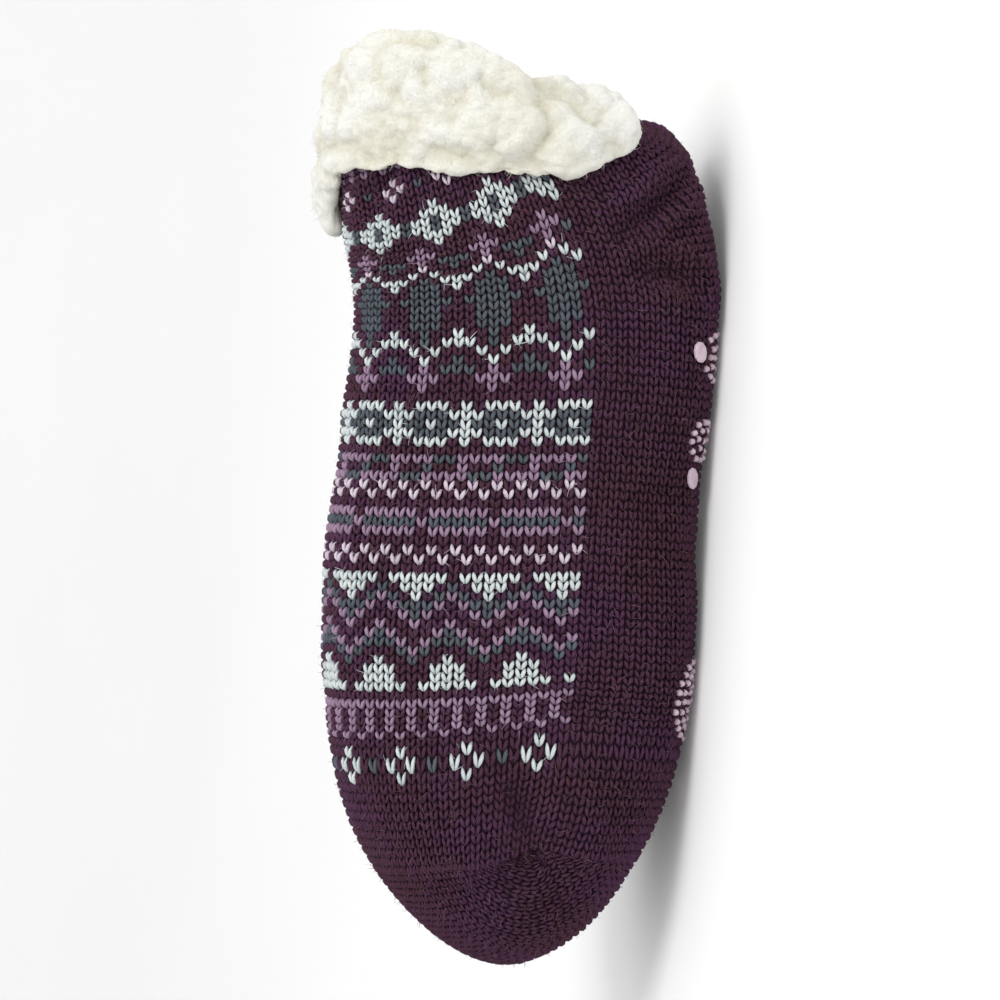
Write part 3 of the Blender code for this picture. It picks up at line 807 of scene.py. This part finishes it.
def cuffSection(turned, pile):  # away from the middle of the wall, past the rim, and how free the pile is
    line = sock["wall"] / 2 + sock["touchGap"]
    outer, inner = line + pile, line + cuff["inside"]
    path = []
    thick = pile * cuff["edgeThick"] / 2
    for step in range(cuff["edgeSteps"]):  # the round free edge
        angle = math.pi * (step / cuff["edgeSteps"] - 0.5)
        path.append((line + thick + thick * math.sin(angle),
                     -turned - cuff["edgeBulge"] * math.cos(angle), 1))
    for step in range(cuff["outerSteps"]):
        share = 1 - step / cuff["outerSteps"]
        path.append((line + pile * (1 - (1 - cuff["edgeThick"]) * share**6), -turned * share, 1))
    for step in range(cuff["rimSteps"]):
        angle = math.pi * step / cuff["rimSteps"]
        radius = outer + (inner - outer) * step / cuff["rimSteps"]
        path.append((radius * math.cos(angle), radius * math.sin(angle) * cuff["rimHeight"], 1))
    for step in range(cuff["innerSteps"]):
        share = step / cuff["innerSteps"]
        path.append((-inner + cuff["inside"] * 0.5 * share**6, -cuff["depth"] * share, 1 - 0.4 * share))
    for step in range(cuff["backSteps"]):
        share = 1 - step / cuff["backSteps"]
        path.append((-line, -cuff["depth"] * share, 0))
    for step in range(4):
        angle = math.pi * (1 - step / 4)
        path.append((line * math.cos(angle), line * math.sin(angle), 0))
    for step in range(cuff["backSteps"]):
        path.append((line, -turned * step / cuff["backSteps"], 0))
    return np.array(path)


lump = dict(warp=0.35, warpScale=0.7, reach=0.72, even=0.55)


def pillows(points, seed, scale):  # round lumps with narrow valleys between them, 0 to 1
    result = np.zeros(len(points))
    shift = Vector((seed * 3.1, seed * 1.7, seed * 2.3))
    for number, point in enumerate(points):
        place = Vector(point) / scale + shift
        warp = noise.noise_vector(place * lump["warpScale"]) * lump["warp"]
        gap = noise.voronoi(place + warp)[0][0]
        result[number] = 1 - min(gap / lump["reach"], 1) ** 2
    return result


def makeCuff():
    around = np.arange(cuff["around"]) / cuff["around"]
    stations = np.linspace(0, heelEnd, 161)
    lines = wallPoints(stations[:, None], around[None, :])
    run = runAlong(lines)
    turned = turnedDown(around)
    pile = fromTable(cuff["turns"], 3, 1 - np.abs(1 - 2 * around)) * cuff["outside"]
    points, free = [], []
    rimWay = wallPoints(0, around + 1e-3) - wallPoints(0, around - 1e-3)
    beyond = unit(np.cross(rimWay, wallNormals(np.zeros(len(around)), around)))
    for number, spot in enumerate(around):
        section = cuffSection(turned[number], pile[number])
        at = np.interp(np.maximum(-section[:, 1], 0), run[:, number], stations)
        normals = wallNormals(at, np.full(len(at), spot))
        centre = wallPoints(at, np.full(len(at), spot)) - normals * sock["wall"] / 2
        offset = normals * section[:, :1] + beyond[number] * np.maximum(section[:, 1:2], 0)
        points.append(centre + offset)
        free.append(section[:, 2])
    points, free = np.array(points), np.array(free)
    steps = np.arange(-3 * cuff["soften"], 3 * cuff["soften"] + 1)
    weights = np.exp(-(steps / cuff["soften"]) ** 2 / 2)
    points = sum(np.roll(points, step, axis=0) * weight for step, weight in zip(steps, weights))
    points = points / weights.sum()
    across = np.roll(points, -1, axis=0) - np.roll(points, 1, axis=0)
    along = np.roll(points, -1, axis=1) - np.roll(points, 1, axis=1)
    outwards = unit(np.cross(across, along))
    flat = points.reshape(-1, 3)
    lift = np.zeros(len(flat))
    total = sum(height for _, height in cuff["lumps"])
    for seed, (size, height) in enumerate(cuff["lumps"], 1):
        lift += (pillows(flat, seed, size) - lump["even"]) * height
    count, ring = points.shape[:2]
    ease = free.reshape(-1)
    middle = points.mean(axis=(0, 1))
    if (outwards[:, 40] * (points[:, 40] - middle)).sum() < 0:
        outwards = -outwards
    flat = flat + outwards.reshape(-1, 3) * (lift * ease)[:, None]
    faces = []
    for one in range(count):
        after = (one + 1) % count
        for spot in range(ring):
            nextSpot = (spot + 1) % ring
            faces.append((one * ring + spot, one * ring + nextSpot,
                          after * ring + nextSpot, after * ring + spot))
    piece = newPiece("sherpa_turnover", flat, faces, [fleece])
    # "lift" is low in the lump valleys and down inside the cuff, where the fleece material paints shade
    store(piece.data, "lift", (lift / total + lump["even"]) * ease)
    makeHairs(flat, outwards.reshape(-1, 3), ease)
    return piece


def makeHairs(points, outwards, ease):  # loose fibres of the pile
    chance = np.random.RandomState(31)
    chosen = chance.choice(np.flatnonzero(ease > 0.9), cuff["hairs"], replace=False)
    out = outwards[chosen]
    sideways = unit(np.cross(out, chance.normal(0, 1, out.shape)))
    away = unit(out + sideways * chance.uniform(*cuff["hairLean"], (len(out), 1)))
    long = cuff["hairLength"] * np.clip(chance.normal(1, cuff["hairUneven"], (len(out), 1)),
                                        fuzz["shortest"], fuzz["longest"])
    vectors = {"outward": away, "across": sideways, "size": np.repeat(long, 3, axis=1)}
    piece = carrier("sherpa_hairs", points[chosen] - out * cuff["hairRoot"], vectors, [0.5] * len(out))
    grown(piece, fuzzTree(), {"Thin": cuff["hairThin"], "Finish": fleece})
    # a fixed "lift" that keeps the hairs out of the fleece's painted shade
    store(piece.data, "lift", [cuff["hairLift"]] * len(piece.data.vertices))
    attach(piece, "root")


sherpaCuff = makeCuff()
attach(sherpaCuff, "root")
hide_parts("sherpa_cuff")
print("cuff made", len(sherpaCuff.data.polygons))

# The sherpa lining inside, as seen down the collar
lining = dict(rows=120, around=110, gap=0.0001, pile=0.0030, lump=0.0016, lumpSize=0.0062,
              end=0.985, thin=0.0009, pileFrom=0.017, pileFade=0.010)


def makeLining():
    stations = stationRows(lining["rows"]) * lining["end"]
    around = np.arange(lining["around"]) / lining["around"]
    back = np.full((len(stations), len(around)), ground["sink"] + ground["thick"] + lining["gap"])
    grid = wallPoints(stations[:, None], around[None, :])
    run = runAlong(grid)
    grow = np.clip((run - lining["pileFrom"]) / lining["pileFade"], 0, 1)
    lumps = pillows(grid.reshape(-1, 3), 5, lining["lumpSize"]).reshape(grow.shape)
    pile = lining["pile"] - lining["thin"] + lining["lump"] * (lumps - 0.5)
    front = back + lining["thin"] + grow * pile
    outer = skin(stations[:, None], around[None, :], back)
    inner = skin(stations[:, None], around[None, :], front)
    for layer, depth in ((outer, 0.0), (inner, lining["pile"])):
        layer[-1] = layer[-2].mean(axis=0) + [0.0006 - 0.2 * depth, 0, 0]
    piece = closedShell("sherpa_lining", stations, around, outer, inner, fleece)
    # the lumps as "lift", so the fleece material paints shade in the lining's valleys
    store(piece.data, "lift", np.concatenate([lumps[:-1].ravel(), [0.5], lumps[:-1].ravel(), [0.5]]))
    return piece


sherpaLining = makeLining()
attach(sherpaLining, "root")
print("lining made", len(sherpaLining.data.polygons))

# Silicone: the oval dots are the solids themselves
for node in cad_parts:
    name = node if isinstance(node, str) else node.get("name", "")
    if name.startswith("grip_dot"):
        solid = bpy.data.objects.get(name)
        for number in range(len(solid.material_slots)):
            solid.material_slots[number].material = silicone

# Round patches of small silicone beads between the ovals, on both sides of the sole
beads = dict(size=0.00098, high=0.00108, sunk=0.0002, pitch=0.00265, clear=0.0042, stray=0.00022,
             patches=[(0.285, 0.0222, 0.0056), (0.375, 0.0238, 0.0060), (0.675, 0.0228, 0.0112),
                      (0.525, 0.0, 0.0060)],  # station, across from the sole's middle, radius
             ovals=[(0.235, 0.125), (0.280, 0.385), (0.345, 0.150), (0.420, 0.345), (0.455, 0.150),
                    (0.590, 0.190), (0.775, 0.210), (0.650, 0.0), (0.740, 0.0)])


def solePoint(station, across):  # the point this far along the knit from the sole's middle
    fine = np.linspace(0, 0.3, 241)
    line = wallPoints(station, fine)
    run = runAlong(line)
    around = np.interp(abs(across), run, fine)
    around = around if across >= 0 else 1 - around
    point = wallPoints(np.array([station]), np.array([around]))[0]
    return point, wallNormals(np.array([station]), np.array([around]))[0]


def beadTree():
    tree, graph, inputs = startTree("silicone_beads", "Beads", (("Size", "Float"), ("High", "Float")))
    ball = graph.node("GeometryNodeMeshUVSphere", None, {"Segments": 8, "Rings": 5, "Radius": 1.0})
    ball = graph.node("GeometryNodeSetShadeSmooth", None, {"Geometry": ball, "Shade Smooth": True})
    wide = inputs["Size"]
    scale = graph.node("ShaderNodeCombineXYZ", None, {0: wide, 1: wide, 2: inputs["High"]})
    outward = carried(graph, "outward")
    turn = graph.node("FunctionNodeAlignRotationToVector", {"axis": "Z"}, {"Vector": outward})
    endTree(graph, inputs, ball, turn, scale)
    return tree


def makeBeads():
    chance = random.Random(3)
    ovals = [(station * sock["footLength"], across * sock["ballWidth"])
             for station, across in beads["ovals"]]
    places, outwards = [], []
    for station, across, radius in beads["patches"]:
        centre = station * sock["footLength"]
        rings = int(radius / beads["pitch"])
        for ring in range(rings + 1):
            count = max(1, round(2 * math.pi * ring))
            for number in range(count):
                angle = 2 * math.pi * (number + 0.5 * (ring % 2)) / count
                along = centre + beads["pitch"] * ring * math.cos(angle) + chance.gauss(0, beads["stray"])
                out = across + beads["pitch"] * ring * math.sin(angle) + chance.gauss(0, beads["stray"])
                if min(math.hypot(along - x, abs(out) - y) for x, y in ovals) < beads["clear"]:
                    continue
                for side in (1, -1) if across else (1,):
                    point, normal = solePoint(along / sock["footLength"], side * out)
                    places.append(point - normal * beads["sunk"])
                    outwards.append(normal)
    piece = carrier("silicone_beads", places, {"outward": outwards}, [0.5] * len(places))
    grown(piece, beadTree(), {"Size": beads["size"], "High": beads["high"] + beads["sunk"],
                              "Finish": silicone})
    return piece


siliconeBeads = makeBeads()
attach(siliconeBeads, "root")
print("beads made", len(siliconeBeads.data.polygons))

# Floor, light and camera
studio = dict(floorSize=3.0, wallBack=1.4, wallHigh=2.2, curve=0.5, lens=180, frameWidth=0.270,
              lookDown=12, target=(-0.0004, 0.0, 0.0523), roll=(-0.083, -0.9965),
              keyPlace=(-0.45, 0.55, 0.95), keySize=0.6, keyPower=6.5, skyPower=0.82)


def makeFloor():
    profile = [(studio["floorSize"], 0.0), (-studio["wallBack"] + studio["curve"], 0.0)]
    for step in range(1, 13):
        angle = math.pi / 2 * step / 12
        profile.append((-studio["wallBack"] + studio["curve"] * (1 - math.sin(angle)),
                        studio["curve"] * (1 - math.cos(angle))))
    profile.append((-studio["wallBack"], studio["wallHigh"]))
    points = [(x, y, z) for y, z in profile for x in (-studio["floorSize"], studio["floorSize"])]
    faces = [(2 * n, 2 * n + 2, 2 * n + 3, 2 * n + 1) for n in range(len(profile) - 1)]
    floor = newPiece("pale_floor", points, faces, [floorMaterial()])


def makeLight(name, place, size, power):
    light = bpy.data.lights.new(name, "AREA")
    light.energy = power
    light.size = size
    lamp = bpy.data.objects.new(name, light)
    lamp.location = place
    lamp.rotation_euler = (Vector(studio["target"]) - Vector(place)).to_track_quat("-Z", "Y").to_euler()
    bpy.context.scene.collection.objects.link(lamp)


def makeCamera():
    camera = bpy.data.objects.new("camera", bpy.data.cameras.new("camera"))
    camera.data.lens = studio["lens"]
    camera.data.sensor_width = 36
    camera.data.clip_start = 0.01
    down = math.radians(studio["lookDown"])
    back = Vector((0, math.cos(down), math.sin(down)))
    upright = Vector((0, -math.sin(down), math.cos(down)))
    toe = Vector((1, 0, 0))
    right = (toe * studio["roll"][0] + upright * studio["roll"][1]).normalized()
    up = back.cross(right)
    distance = studio["frameWidth"] * studio["lens"] / 36
    place = Vector(studio["target"]) + back * distance
    camera.matrix_world = Matrix.Translation(place) @ Matrix((right, up, back)).transposed().to_4x4()
    bpy.context.scene.collection.objects.link(camera)
    bpy.context.scene.camera = camera


makeFloor()
makeLight("key", studio["keyPlace"], studio["keySize"], studio["keyPower"])
world = bpy.data.worlds.new("studio")
world.use_nodes = True
world.node_tree.nodes["Background"].inputs["Color"].default_value = (1, 1, 1, 1)
world.node_tree.nodes["Background"].inputs["Strength"].default_value = studio["skyPower"]
bpy.context.scene.world = world
bpy.context.scene.view_settings.view_transform = "Standard"
makeCamera()
print("studio made")
